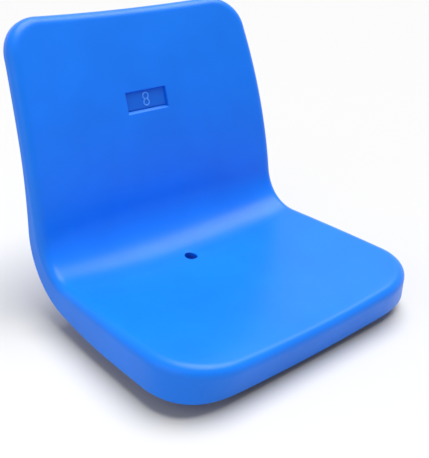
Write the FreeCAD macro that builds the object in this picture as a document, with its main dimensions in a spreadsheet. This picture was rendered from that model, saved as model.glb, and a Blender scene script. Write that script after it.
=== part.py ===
import FreeCAD, Part
import math
import os
from FreeCAD import Placement, Rotation, Vector

# A one-piece stadium seat shell on two pressed steel rails, in millimetres.
# X runs across the seat and is positive on the right of someone who looks at its front.
# Y runs back, away from that person, Z is up, and Z = 0 is the surface that the rails stand on.
# The origin is the middle of the four anchor slots, at the rails' feet.

SIZES = (
    ("front_width", 430.0, "width of the pan at the front edge"),
    ("hip_width", 438.8, "width half way along the shell"),
    ("top_width", 396.4, "width at the top of the backrest"),
    ("shell_path", 660.0, "length over pan and backrest, measured along the middle"),
    ("pan_path", 274.0, "length of the pan before the bend"),
    ("bend_radius", 61.0, "mean radius of the bend between pan and backrest"),
    ("bend_ease", 0.45, "how far the bend eases in and out, 0 is a plain arc"),
    ("pan_slope", 0.5, "fall of the pan towards the back, degrees"),
    ("back_recline", 5.2, "lean of the backrest where it leaves the bend, degrees"),
    ("back_curl_radius", 909.5, "radius of the backrest's steady backward curl"),
    ("front_roll", 18.8, "slope of the waterfall front edge, degrees"),
    ("front_roll_path", 60.0, "length of the waterfall front edge"),
    ("front_corner", 90.5, "corner radius at the front"),
    ("top_corner", 57.3, "corner radius at the top of the backrest"),
    ("front_bow", 6.0, "bow of the front edge"),
    ("dish_depth", 24.0, "hollow across the middle of the seat"),
    ("dish_front", 0.41, "share of the hollow that is left at the front edge"),
    ("rim_radius", 16.0, "rounding between seat surface and skirt"),
    ("skirt_front", 49.6, "depth of the skirt at the front"),
    ("skirt_back", 22.0, "depth of the skirt round the backrest"),
    ("skirt_flare", 0.083, "outward slope of the skirt"),
    ("wall", 4.5, "thickness of the moulding"),
    ("drain_diameter", 17.5, "drain hole"),
    ("drain_path", 280.0, "place of the drain hole along the middle"),
    ("edge_height", 68.0, "height of the front edge over the rails' feet"),
    ("pocket_path", 517.0, "place of the number pocket along the middle"),
    ("pocket_width", 72.0, "number pocket"),
    ("pocket_height", 33.0, "number pocket"),
    ("pocket_depth", 5.5, "number pocket"),
    ("pocket_draft", 0.06, "slope of the pocket's top and sides"),
    ("pocket_sill", 0.95, "slope of the pocket's lower wall"),
    ("pocket_floor", 3.5, "wall behind and round the pocket"),
    ("pocket_mouth", 2.0, "how far the cut for the pocket starts in front of the seat surface"),
    ("plate_gap", 0.4, "clearance round the number plate"),
    ("plate_thickness", 2.0, "number plate"),
    ("plate_corner", 1.5, "corner radius of the number plate"),
    ("peg_diameter", 4.0, "pegs of the number plate"),
    ("peg_spacing", 48.0, "pegs of the number plate"),
    ("peg_end", 3.0, "length of peg that shows behind the shell"),
    ("peg_fit", 0.1, "clearance round each peg"),
    ("figure_height", 21.0, "raised figure"),
    ("figure_stroke", 2.1, "raised figure"),
    ("figure_relief", 0.8, "raised figure"),
    ("retainer_diameter", 11.0, "push-on retainer"),
    ("retainer_thickness", 1.0, "push-on retainer"),
    ("rail_spacing", 220.0, "middle to middle of the rails"),
    ("rail_length", 220.0, "pressed rail"),
    ("shell_setback", 145.0, "front edge of the shell to the middle of the rails"),
    ("rail_height", 30.0, "pressed rail"),
    ("rail_web", 38.0, "width of the rail's raised part"),
    ("rail_gauge", 3.0, "thickness of the rail's steel"),
    ("rail_flange", 29.0, "outer flange of the rail, which has the slots"),
    ("rail_return", 12.0, "plain inner flange of the rail"),
    ("slot_width", 9.0, "anchor slot"),
    ("slot_length", 14.0, "anchor slot, across the seat"),
    ("slot_spacing", 170.0, "anchor slots along a rail"),
    ("bolt_spacing", 140.0, "seat bolts along a rail"),
    ("bolt_diameter", 8.0, "M8 seat bolt"),
    ("bolt_length", 16.0, "M8 seat bolt, under the head"),
    ("bolt_flats", 13.0, "M8 head across its flats"),
    ("bolt_head", 5.3, "M8 head height"),
    ("bolt_hole", 9.0, "clearance hole for an M8 bolt"),
    ("washer_diameter", 16.0, "flat washer"),
    ("washer_hole", 8.4, "flat washer"),
    ("washer_thickness", 1.6, "flat washer"),
    ("spring_diameter", 14.8, "spring washer"),
    ("spring_thickness", 2.0, "spring washer"),
    ("spring_split", 1.5, "gap in the spring washer"),
    ("insert_diameter", 12.0, "threaded insert"),
    ("insert_length", 13.0, "threaded insert"),
    ("waist_depth", 0.8, "locking waist round the insert"),
    ("waist_length", 3.0, "locking waist round the insert"),
    ("boss_diameter", 26.0, "boss at its foot"),
    ("boss_draft", 0.03, "slope of the boss's side"),
    ("rib_thickness", 3.2, "ribs under the shell"),
    ("rib_depth", 11.0, "ribs under the shell"),
    ("rib_inner_spacing", 90.0, "the two inner long ribs"),
    ("rib_start", 34.0, "front end of the long ribs along the shell"),
    ("rib_end", 430.0, "upper end of the long ribs along the shell"),
    ("rib_front_ramp", 24.0, "length over which a long rib rises at its front end"),
    ("rib_top_ramp", 110.0, "length over which a long rib fades out up the backrest"),
    ("cross_rib_half", 165.0, "half length of the cross ribs"),
    ("cross_rib_ramp", 32.0, "length over which a cross rib rises at each end"),
)

# Counts of the points that the curved faces pass through. The sheet has several, because the
# first that leaves the moulding sound is used.
RING_POINTS = 160
BORDER_RINGS = 3
RIM_RINGS = 6
SHEET_GRIDS = ((72, 24), (48, 16), (60, 20), (66, 22), (54, 18))

doc = FreeCAD.newDocument("stadium_seat")
sheet = doc.addObject("Spreadsheet::Sheet", "Sizes")
for line, (alias, value, note) in enumerate(SIZES, 1):
    sheet.set("A%d" % line, alias)
    sheet.set("B%d" % line, str(value))
    sheet.set("C%d" % line, note)
    sheet.setAlias("B%d" % line, alias)
doc.recompute()


def size(alias):
    """One driving size, read back from the sheet."""
    return float(getattr(sheet, alias))


def smooth(t):
    """Eased step from 0 to 1."""
    t = min(max(t, 0.0), 1.0)
    return t * t * (3.0 - 2.0 * t)


# The seat's middle line: a nearly level pan, a bend and a backrest that curls back.
SHELL_PATH = size("shell_path")
PAN_PATH = size("pan_path")
PAN_ANGLE = -math.radians(size("pan_slope"))
BACK_ANGLE = math.radians(90.0 - size("back_recline"))
BEND_PATH = (BACK_ANGLE - PAN_ANGLE) * size("bend_radius")
BACK_START = PAN_PATH + BEND_PATH
ORIGIN_BACK = size("shell_setback")


def heading(s):
    """Slope of the middle line at s mm along it from the front edge, in radians."""
    t = min(max((s - PAN_PATH) / BEND_PATH, 0.0), 1.0)
    ease = size("bend_ease")
    angle = PAN_ANGLE + (BACK_ANGLE - PAN_ANGLE) * (t * (1.0 - ease) + ease * smooth(t))
    angle -= max(s - BACK_START, 0.0) / size("back_curl_radius")
    angle += math.radians(size("front_roll")) * max(1.0 - s / size("front_roll_path"), 0.0) ** 2
    return angle


def trace_middle(margin=80):
    """Middle line as (y, z) at every whole millimetre, from margin before the front edge."""
    y = 0.0
    z = 0.0
    line = [(y, z)]
    for s in range(-margin, int(SHELL_PATH) + margin):
        angle = heading(s + 0.5)
        y += math.cos(angle)
        z += math.sin(angle)
        line.append((y, z))
    y0, z0 = line[margin]
    return margin, [(y - y0, z - z0) for y, z in line]


MARGIN, MIDDLE = trace_middle()


def middle_point(s):
    """(y, z) of the middle line, between the traced points."""
    place = s + MARGIN
    whole = min(max(int(math.floor(place)), 0), len(MIDDLE) - 2)
    part = place - whole
    y0, z0 = MIDDLE[whole]
    y1, z1 = MIDDLE[whole + 1]
    return y0 + (y1 - y0) * part, z0 + (z1 - z0) * part


def dish(x, s):
    """Depth of the hollow under the line between the two side edges."""
    t = min(max(s / SHELL_PATH, 0.0), 1.0)
    share = 1.0
    if t < 0.5:
        share = size("dish_front") + (1.0 - size("dish_front")) * math.sin(math.pi * t) ** 0.8
    across = min(abs(x) / (size("hip_width") / 2.0), 1.0)
    return size("dish_depth") * share * (1.0 - across * across)


def seat_point(x, s, depth):
    """Point depth mm behind the sitting surface, x mm across and s mm along it."""
    y, z = middle_point(s)
    angle = heading(s)
    behind = depth + dish(x, s)
    return Vector(
        x,
        y + math.sin(angle) * behind - ORIGIN_BACK,
        z - math.cos(angle) * behind + size("edge_height"),
    )


def path_under(x, y, depth):
    """The s of the pan point that stands over the place x, y."""
    s = y + ORIGIN_BACK
    for _ in range(20):
        s += y - seat_point(x, s, depth).y
    return s


# The outline of the shell, laid out flat as x across and s along.
def half_width(s):
    """Half width of the shell, through its front, hip and top widths."""
    t = s / SHELL_PATH
    front = size("front_width") / 2.0 * (1.0 - t) * (1.0 - 2.0 * t)
    hip = size("hip_width") / 2.0 * 4.0 * t * (1.0 - t)
    top = size("top_width") / 2.0 * t * (2.0 * t - 1.0)
    return front + hip + top


def half_outline(steps=60):
    """Right half of the outline from the middle of the front to the middle of the top."""
    front_r = size("front_corner")
    top_r = size("top_corner")
    front_half = half_width(front_r)
    top_half = half_width(SHELL_PATH - top_r)
    flat = front_half - front_r
    points = []
    for i in range(steps):
        x = flat * i / steps
        points.append((x, size("front_bow") * (x / front_half) ** 2))
    lift = size("front_bow") * (flat / front_half) ** 2
    for i in range(steps + 1):
        a = math.pi / 2.0 * i / steps
        # The corner meets the side without a step because the bow's lift runs out along it.
        points.append((flat + front_r * math.sin(a), front_r * (1.0 - math.cos(a)) + lift * math.cos(a)))
    for i in range(1, steps):
        s = front_r + (SHELL_PATH - top_r - front_r) * i / steps
        points.append((half_width(s), s))
    for i in range(steps + 1):
        a = math.pi / 2.0 * i / steps
        points.append((top_half - top_r + top_r * math.cos(a), SHELL_PATH - top_r + top_r * math.sin(a)))
    for i in range(1, steps + 1):
        points.append(((top_half - top_r) * (1.0 - i / steps), SHELL_PATH))
    return points


def spaced(points, count):
    """The polyline's points moved to count equal steps along it."""
    run = [0.0]
    for (x0, s0), (x1, s1) in zip(points, points[1:]):
        run.append(run[-1] + math.hypot(x1 - x0, s1 - s0))
    result = []
    k = 0
    for i in range(count + 1):
        goal = run[-1] * i / count
        while k < len(run) - 2 and run[k + 1] < goal:
            k += 1
        part = (goal - run[k]) / max(run[k + 1] - run[k], 1e-9)
        x = points[k][0] + (points[k + 1][0] - points[k][0]) * part
        s = points[k][1] + (points[k + 1][1] - points[k][1]) * part
        result.append((x, s))
    return result


def spaced_length():
    """Length of the whole outline."""
    right = half_outline()
    return 2.0 * sum(math.hypot(x1 - x0, s1 - s0) for (x0, s0), (x1, s1) in zip(right, right[1:]))


def full_outline():
    """Closed outline with its outward direction at each point."""
    right = spaced(half_outline(), RING_POINTS // 2)
    left = [(-x, s) for x, s in reversed(right[1:-1])]
    ring = right + left
    result = []
    for i, (x, s) in enumerate(ring):
        x0, s0 = ring[i - 1]
        x1, s1 = ring[(i + 1) % len(ring)]
        length = math.hypot(x1 - x0, s1 - s0)
        result.append((x, s, (s1 - s0) / length, -(x1 - x0) / length))
    return result


OUTLINE_STEP = spaced_length() / RING_POINTS


def skirt_depth(s):
    """Depth of the skirt, which gets shallower from the pan to the backrest."""
    start = 0.6 * PAN_PATH
    end = 0.75 * SHELL_PATH
    fade = smooth((s - start) / (end - start))
    return size("skirt_front") + (size("skirt_back") - size("skirt_front")) * fade


def rim_rings(inset):
    """Rings of points from the sheet's edge over the rounded rim, inset mm into the wall."""
    rim = size("rim_radius")
    rim_inside = rim - inset
    outline = full_outline()
    rings = []
    for k in range(BORDER_RINGS, 0, -1):
        out = -rim - rim * k / BORDER_RINGS
        rings.append([seat_point(x + out * ox, s + out * os_, inset) for x, s, ox, os_ in outline])
    for k in range(RIM_RINGS + 1):
        a = math.pi / 2.0 * k / RIM_RINGS
        out = rim_inside * math.sin(a) - rim
        depth = rim - rim_inside * math.cos(a)
        rings.append([seat_point(x + out * ox, s + out * os_, depth) for x, s, ox, os_ in outline])
    return rings


def foot_ring(inset):
    """Ring of points at the skirt's foot."""
    ring = []
    for x, s, ox, os_ in full_outline():
        drop = skirt_depth(s) - size("rim_radius")
        out = size("skirt_flare") * drop - inset
        ring.append(seat_point(x + out * ox, s + out * os_, skirt_depth(s)))
    return ring


def closed_poles(points, rounds=24):
    """Poles of the closed cubic curve that passes through the points."""
    poles = list(points)
    count = len(points)
    for _ in range(rounds):
        poles = [(points[i] * 6.0 - poles[i - 1] - poles[(i + 1) % count]) * 0.25 for i in range(count)]
    return poles


def open_poles(points, places):
    """Poles, knots and multiplicities of the cubic curve through the points at the given places."""
    curve = Part.BSplineCurve()
    curve.interpolate(Points=points, Parameters=places)
    return curve.getPoles(), curve.getKnots(), curve.getMultiplicities()


def band_face(rings):
    """Smooth closed band that passes through rings of the same number of points."""
    degree = 3
    places = [0.0]
    for ring, after in zip(rings, rings[1:]):
        places.append(places[-1] + ring[0].distanceToPoint(after[0]))
    columns = []
    for i in range(RING_POINTS):
        column, knots, mults = open_poles([ring[i] for ring in rings], places)
        columns.append(column)
    across = [closed_poles([column[k] for column in columns]) for k in range(len(columns[0]))]
    return closed_surface(across, knots, mults, degree)


def closed_surface(rows_of_poles, knots, mults, degree):
    """Face of a surface that closes on itself along each row of poles."""
    surface = Part.BSplineSurface()
    surface.buildFromPolesMultsKnots(
        [[row[i] for row in rows_of_poles] for i in range(RING_POINTS)],
        [1] * (RING_POINTS + 1),
        mults,
        [OUTLINE_STEP * i for i in range(RING_POINTS + 1)],
        knots,
        True,
        False,
        3,
        degree,
    )
    return surface.toShape()


def straight_face(ring, other):
    """Closed face of straight lines from one ring of points to another."""
    return closed_surface([closed_poles(ring), closed_poles(other)], [0.0, 1.0], [2, 2], 1)


def sheet_surface(inset, grid):
    """The dished sitting surface without its rim, x and s being its two parameters."""
    rows, columns = grid
    start = size("rim_radius")
    half = size("hip_width") / 2.0 - start
    xs = [half * (2.0 * i / columns - 1.0) for i in range(columns + 1)]
    ss = [start + (SHELL_PATH - 2.0 * start) * i / rows for i in range(rows + 1)]
    lines = []
    for s in ss:
        line, x_knots, x_mults = open_poles([seat_point(x, s, inset) for x in xs], xs)
        lines.append(line)
    poles = []
    for i in range(len(lines[0])):
        column, s_knots, s_mults = open_poles([line[i] for line in lines], ss)
        poles.append(column)
    surface = Part.BSplineSurface()
    surface.buildFromPolesMultsKnots(poles, x_mults, s_mults, x_knots, s_knots, False, False, 3, 3)
    return surface


def inner_edge(band, ring):
    """The edge of a band that runs through the points of its first ring."""
    closed = [edge for edge in band.Edges if edge.isClosed()]
    return min(closed, key=lambda edge: edge.distToShape(Part.Vertex(ring[5]))[0])


def sheet_face(inset, grid, band, ring):
    """Sheet of the sitting surface inside the band."""
    face = Part.Face(sheet_surface(inset, grid), Part.Wire([inner_edge(band, ring)]))
    face.validate()
    return face


def shell_skin(grid):
    """The moulding without its ribs and bosses, as one closed wall."""
    faces = []
    feet = []
    for inset in (0.0, size("wall")):
        rings = rim_rings(inset)
        foot = foot_ring(inset)
        band = band_face(rings)
        faces += [sheet_face(inset, grid, band, rings[0]), band, straight_face(rings[-1], foot)]
        feet.append(foot)
    faces.append(straight_face(feet[0], feet[1]))
    sewn = Part.makeCompound(faces)
    sewn.sewShape(0.05)
    solid = Part.makeSolid(sewn.Shells[0])
    if solid.Volume < 0:
        solid.reverse()
    solid.fixTolerance(0.05, Part.Edge)
    solid.fixTolerance(0.06, Part.Vertex)
    return solid


# The ribs follow the underside, so their upper edge is a curve inside the wall.
def rib_ramp(distance, ramp):
    """Depth of a rib at a distance from its end: it rises out of the wall over the ramp."""
    sunk = 0.3 * size("wall")
    full = size("rib_depth") + sunk
    return full * min(distance / ramp, 1.0) - sunk


def curve_through(points):
    """Smooth edge through a row of points."""
    spline = Part.BSplineCurve()
    spline.interpolate(points)
    return spline.toShape()


def sliding_plate(upper, foot, direction, thickness):
    """Plate between two rows of points, thickness mm thick along direction."""
    edges = [
        curve_through(upper),
        Part.makeLine(upper[-1], foot[-1]),
        curve_through(foot),
        Part.makeLine(foot[0], upper[0]),
    ]
    face = Part.Face(Part.Wire(Part.sortEdges(edges)[0]))
    face.translate(direction * (-thickness / 2.0))
    return face.extrude(direction * thickness)


def long_rib(x):
    """Rib that runs back under the pan and up behind the backrest."""
    length = size("rib_end") - size("rib_start")
    steps = int(length / 8.0)
    upper = []
    foot = []
    for i in range(steps + 1):
        along = length * i / steps
        depth = min(rib_ramp(along, size("rib_front_ramp")), rib_ramp(length - along, size("rib_top_ramp")))
        upper.append(seat_point(x, size("rib_start") + along, size("wall") * 0.5))
        foot.append(seat_point(x, size("rib_start") + along, size("wall") + depth))
    return sliding_plate(upper, foot, Vector(1, 0, 0), size("rib_thickness"))


def cross_rib(y):
    """Rib across the pan through two of the bosses."""
    half = size("cross_rib_half")
    steps = int(half / 4.0)
    upper = []
    foot = []
    for i in range(steps + 1):
        x = -half + 2.0 * half * i / steps
        depth = rib_ramp(half - abs(x), size("cross_rib_ramp"))
        s = path_under(x, y, size("wall"))
        upper.append(Vector(x, y, seat_point(x, s, size("wall") * 0.5).z))
        foot.append(Vector(x, y, seat_point(x, s, size("wall") + depth).z))
    return sliding_plate(upper, foot, Vector(0, 1, 0), size("rib_thickness"))


# Building blocks whose sizes and places are formulas of the sheet's cells.
def formula(text):
    """Every known size name in a formula gets the sheet's name in front of it."""
    for alias in sorted((row[0] for row in SIZES + WORKED_OUT), key=len, reverse=True):
        text = text.replace("[" + alias + "]", "Sizes." + alias)
    return text


def block(kind, name, sizes, x=None, y=None, z=None):
    """One Part primitive with its sizes, and its place where it has one, bound to the sheet."""
    item = doc.addObject("Part::" + kind, name)
    for key, text in sizes.items():
        item.setExpression(key, formula(text))
    for axis, text in (("x", x), ("y", y), ("z", z)):
        if text is not None:
            item.setExpression("Placement.Base." + axis, formula(text))
    return item


def joined(name, items):
    """Union of several blocks."""
    item = doc.addObject("Part::MultiFuse", name)
    item.Shapes = items
    return item


def cut(name, base, tool):
    """Base with the tool taken out of it."""
    item = doc.addObject("Part::Cut", name)
    item.Base = base
    item.Tool = tool
    return item


def fixed_shape(name, shape):
    """Piece whose curved shape comes from the functions above."""
    item = doc.addObject("Part::Feature", name)
    item.Shape = shape
    return item


def edges_where(shape, test):
    """Numbers of the edges whose middle point passes the test."""
    found = []
    for number, edge in enumerate(shape.Edges, 1):
        middle = edge.valueAt((edge.FirstParameter + edge.LastParameter) / 2.0)
        if test(edge, middle):
            found.append(number)
    return found


def rounded(name, base, kind, edges):
    """Fillet or chamfer, given as (edge number, size) pairs."""
    item = doc.addObject("Part::" + kind, name)
    item.Base = base
    item.Edges = [(number, radius, radius) for number, radius in edges]
    return item


# Sizes that follow from the curve: how far up each boss reaches into the wall.
FRONT_BOLT_Y = -size("bolt_spacing") / 2.0
REAR_BOLT_Y = size("bolt_spacing") / 2.0


def boss_top(y):
    """Height of the middle of the wall over a seat bolt."""
    x = size("rail_spacing") / 2.0
    depth = size("wall") * 0.55
    return seat_point(x, path_under(x, y, depth), depth).z


POCKET_ANGLE = math.degrees(heading(size("pocket_path"))) - 90.0
POCKET_PLACE = Placement(seat_point(0.0, size("pocket_path"), 0.0), Rotation(Vector(1, 0, 0), POCKET_ANGLE))
DRAIN_PLACE = Placement(
    seat_point(0.0, size("drain_path"), size("wall") * 3.0),
    Rotation(Vector(1, 0, 0), math.degrees(heading(size("drain_path")))),
)

WORKED_OUT = (
    ("front_boss_top", boss_top(FRONT_BOLT_Y), "middle of the wall over the front bolts"),
    ("rear_boss_top", boss_top(REAR_BOLT_Y), "middle of the wall over the rear bolts"),
)
for line, (alias, value, note) in enumerate(WORKED_OUT, len(SIZES) + 2):
    sheet.set("A%d" % line, alias)
    sheet.set("B%d" % line, str(value))
    sheet.set("C%d" % line, note)
    sheet.setAlias("B%d" % line, alias)
doc.recompute()

SIDES = (("left", -1), ("right", 1))
ROWS = (("front", -1), ("rear", 1))


# The seat shell: wall, ribs, bosses and the housing of the number pocket are one moulding.
def pocket_wedge(name, near, far, grow):
    """Tapered block in the pocket's own frame, from near to far behind the seat surface."""
    item = doc.addObject("Part::Wedge", name)
    for place, end in (("", near), ("2", far)):
        across = "[pocket_width] / 2 + %s - [pocket_draft] * (%s)" % (grow, end)
        top = "[pocket_height] / 2 + %s - [pocket_draft] * (%s)" % (grow, end)
        sill = "[pocket_height] / 2 + %s - [pocket_sill] * (%s)" % (grow, end)
        item.setExpression("X%smin" % place, formula("-(%s)" % across))
        item.setExpression("X%smax" % place, formula(across))
        item.setExpression("Z%smin" % place, formula("-(%s)" % sill))
        item.setExpression("Z%smax" % place, formula(top))
    item.setExpression("Ymin", formula(near))
    item.setExpression("Ymax", formula(far))
    item.Placement = POCKET_PLACE
    return item


def in_pocket(item, x, z, y):
    """Puts a block that runs along Z into the pocket, turned to run straight back."""
    turned = Placement(Vector(x, y, z), Rotation(Vector(1, 0, 0), -90))
    item.Placement = POCKET_PLACE.multiply(turned)
    return item


def waist(name, x, y):
    """Ring that locks an insert in its boss: it is cut out of the insert and belongs to the shell."""
    low = "[rail_height] + ([insert_length] - [waist_length]) / 2"
    ring = block("Cylinder", name + "_outside",
                 {"Radius": "[insert_diameter] / 2 + 1", "Height": "[waist_length]"}, x, y, low)
    core = block("Cylinder", name + "_core",
                 {"Radius": "[insert_diameter] / 2 - [waist_depth]", "Height": "[waist_length] + 2"},
                 x, y, low + " - 1")
    return cut(name, ring, core)


def pocket_point(x, y, z):
    """Point given in the pocket's own frame."""
    return POCKET_PLACE.multVec(Vector(x, y, z))


def is_sound(shape):
    """True where there is one solid that has material and openings where they belong."""
    if shape.isNull() or not shape.isValid() or len(shape.Solids) != 1:
        return False
    half_wall = size("wall") / 2.0
    rib_middle = size("wall") + size("rib_depth") / 2.0
    floor_middle = size("pocket_depth") + size("pocket_floor") / 2.0
    rib_s = size("pan_path") / 2.0
    peg = size("peg_spacing") / 2.0
    filled = [
        seat_point(x, s, half_wall)
        for x in (-size("rib_inner_spacing"), size("rib_inner_spacing"))
        for s in (size("pan_path") / 2.0, BACK_START, size("pocket_path"))
    ]
    filled += [seat_point(sign * size("rib_inner_spacing") / 2.0, rib_s, rib_middle) for sign in (-1, 1)]
    filled += [pocket_point(x, floor_middle, 0.0) for x in (0.0, peg / 2.0)]
    empty = [pocket_point(x, size("pocket_depth") * part, 0.0) for x in (0.0, peg) for part in (0.5, 0.9)]
    empty += [pocket_point(sign * peg, floor_middle, 0.0) for sign in (-1, 1)]
    empty.append(seat_point(0.0, size("drain_path"), half_wall))
    for _, front in ROWS:
        for _, hand in SIDES:
            x = hand * size("rail_spacing") / 2.0
            y = front * size("bolt_spacing") / 2.0
            empty.append(Vector(x, y, size("rail_height") + size("insert_length") * 0.1))
    solid = shape.Solids[0]
    return all(solid.isInside(p, 1e-4, False) for p in filled) and not any(solid.isInside(p, 1e-4, False) for p in empty)


def build_shell():
    """Seat shell."""
    wall = fixed_shape("shell_wall", shell_skin(SHEET_GRIDS[0]))
    added = [wall]
    taken = []
    keys = []
    for x in (-size("rail_spacing") / 2.0, -size("rib_inner_spacing") / 2.0,
              size("rib_inner_spacing") / 2.0, size("rail_spacing") / 2.0):
        added.append(fixed_shape("long_rib_%d" % len(added), long_rib(x)))
    for y in (FRONT_BOLT_Y, REAR_BOLT_Y):
        added.append(fixed_shape("cross_rib_%d" % len(added), cross_rib(y)))
    for row, front in ROWS:
        for side, hand in SIDES:
            x = "%d * [rail_spacing] / 2" % hand
            y = "%d * [bolt_spacing] / 2" % front
            height = "[%s_boss_top] - [rail_height]" % row
            boss = {
                "Radius1": "[boss_diameter] / 2",
                "Radius2": "[boss_diameter] / 2 + [boss_draft] * (%s)" % height,
                "Height": height,
            }
            added.append(block("Cone", "boss_%s_%s" % (row, side), boss, x, y, "[rail_height]"))
            bore = {"Radius": "[insert_diameter] / 2", "Height": "[insert_length] + 1"}
            taken.append(block("Cylinder", "insert_bore_%s_%s" % (row, side), bore, x, y, "[rail_height] - 1"))
            keys.append(waist("insert_key_%s_%s" % (row, side), x, y))
    added.append(pocket_wedge("pocket_housing", "[wall] / 2", "[pocket_depth] + [pocket_floor]", "[pocket_floor]"))
    taken.append(pocket_wedge("pocket_space", "-[pocket_mouth]", "[pocket_depth]", "0"))
    for side, hand in SIDES:
        peg = {"Radius": "[peg_diameter] / 2 + [peg_fit]", "Height": "[pocket_floor] + 2"}
        hole = block("Cylinder", "peg_hole_" + side, peg)
        taken.append(in_pocket(hole, hand * size("peg_spacing") / 2.0, 0.0, size("pocket_depth") - 1.0))
    drain = block("Cylinder", "drain", {"Radius": "[drain_diameter] / 2", "Height": "[wall] * 6"})
    drain.Placement = DRAIN_PLACE
    taken.append(drain)
    solid = joined("shell_solid", added)
    opened = cut("shell_opened", solid, joined("shell_openings", taken))
    shell = joined("seat_shell", [opened] + keys)
    doc.recompute()
    for grid in SHEET_GRIDS[1:]:
        if is_sound(shell.Shape):
            break
        wall.Shape = shell_skin(grid)
        doc.recompute()
    return shell


# The number plate sits on the pocket's floor and two pegs hold it there.
def build_number_plate():
    """Plate with a raised figure and two pegs."""
    half_width_text = "([pocket_width] / 2 - [pocket_draft] * [pocket_depth] - [plate_gap])"
    top_text = "([pocket_height] / 2 - [pocket_draft] * [pocket_depth] - [plate_gap])"
    sill_text = "([pocket_height] / 2 - [pocket_sill] * [pocket_depth] - [plate_gap])"
    card = doc.addObject("Part::Box", "plate_card")
    card.setExpression("Length", formula("2 * " + half_width_text))
    card.setExpression("Height", formula(top_text + " + " + sill_text))
    card.setExpression("Width", formula("[plate_thickness]"))
    doc.recompute()
    front = size("pocket_depth") - size("plate_thickness")
    corner = Placement(Vector(-card.Length.Value / 2.0, front, -(card.Height.Value - plate_top())), Rotation())
    card.Placement = POCKET_PLACE.multiply(corner)
    corners = edges_where(card.Shape, lambda edge, middle: abs(edge.Length - size("plate_thickness")) < 1e-6)
    pieces = [rounded("plate_corners", card, "Fillet", [(number, size("plate_corner")) for number in corners])]
    for side, hand in SIDES:
        peg = {"Radius": "[peg_diameter] / 2", "Height": "[pocket_floor] + [peg_end] + 1"}
        item = block("Cylinder", "plate_peg_" + side, peg)
        pieces.append(in_pocket(item, hand * size("peg_spacing") / 2.0, 0.0, size("pocket_depth") - 1.0))
    ring = "([figure_height] + [figure_stroke]) / 4"
    middle = (plate_top() + (card.Height.Value - plate_top()) * -1.0) / 2.0
    for number, up in enumerate((-1, 1)):
        outer = block("Cylinder", "figure_outer_%d" % number, {"Radius": ring, "Height": "[figure_relief] + 0.5"})
        inner_sizes = {"Radius": ring + " - [figure_stroke]", "Height": "[figure_relief] + 0.5"}
        inner = block("Cylinder", "figure_inner_%d" % number, inner_sizes)
        height = middle + up * (size("figure_height") - size("figure_stroke")) / 4.0
        in_pocket(outer, 0.0, height, front - size("figure_relief"))
        in_pocket(inner, 0.0, height, front - size("figure_relief"))
        pieces.append(cut("figure_ring_%d" % number, outer, inner))
    return joined("number_plate", pieces)


def plate_top():
    """Upper edge of the number plate over the pocket's middle."""
    return size("pocket_height") / 2.0 - size("pocket_draft") * size("pocket_depth") - size("plate_gap")


def build_retainer(side, hand):
    """Push-on retainer on a peg behind the shell, a disc with four slits."""
    name = "plate_retainer_" + side
    x = hand * size("peg_spacing") / 2.0
    back = size("pocket_depth") + size("pocket_floor")
    disc = block("Cylinder", name + "_disc", {"Radius": "[retainer_diameter] / 2", "Height": "[retainer_thickness]"})
    tools = [block("Cylinder", name + "_bore", {"Radius": "[peg_diameter] / 2", "Height": "[retainer_thickness] + 2"})]
    in_pocket(disc, x, 0.0, back)
    in_pocket(tools[0], x, 0.0, back - 1.0)
    for turn in (0, 90):
        slit = doc.addObject("Part::Box", "%s_slit_%d" % (name, turn))
        slit.setExpression("Length", formula("[retainer_diameter] * 0.62"))
        slit.Width = 0.6
        slit.setExpression("Height", formula("[retainer_thickness] + 2"))
        doc.recompute()
        spin = Placement(Vector(0, 0, 0), Rotation(Vector(0, 0, 1), turn + 45))
        centred = Placement(Vector(-slit.Length.Value / 2.0, -0.3, -1.0), Rotation())
        in_pocket(slit, x, 0.0, back)
        slit.Placement = slit.Placement.multiply(spin).multiply(centred)
        tools.append(slit)
    return cut(name, disc, joined(name + "_openings", tools))


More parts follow.
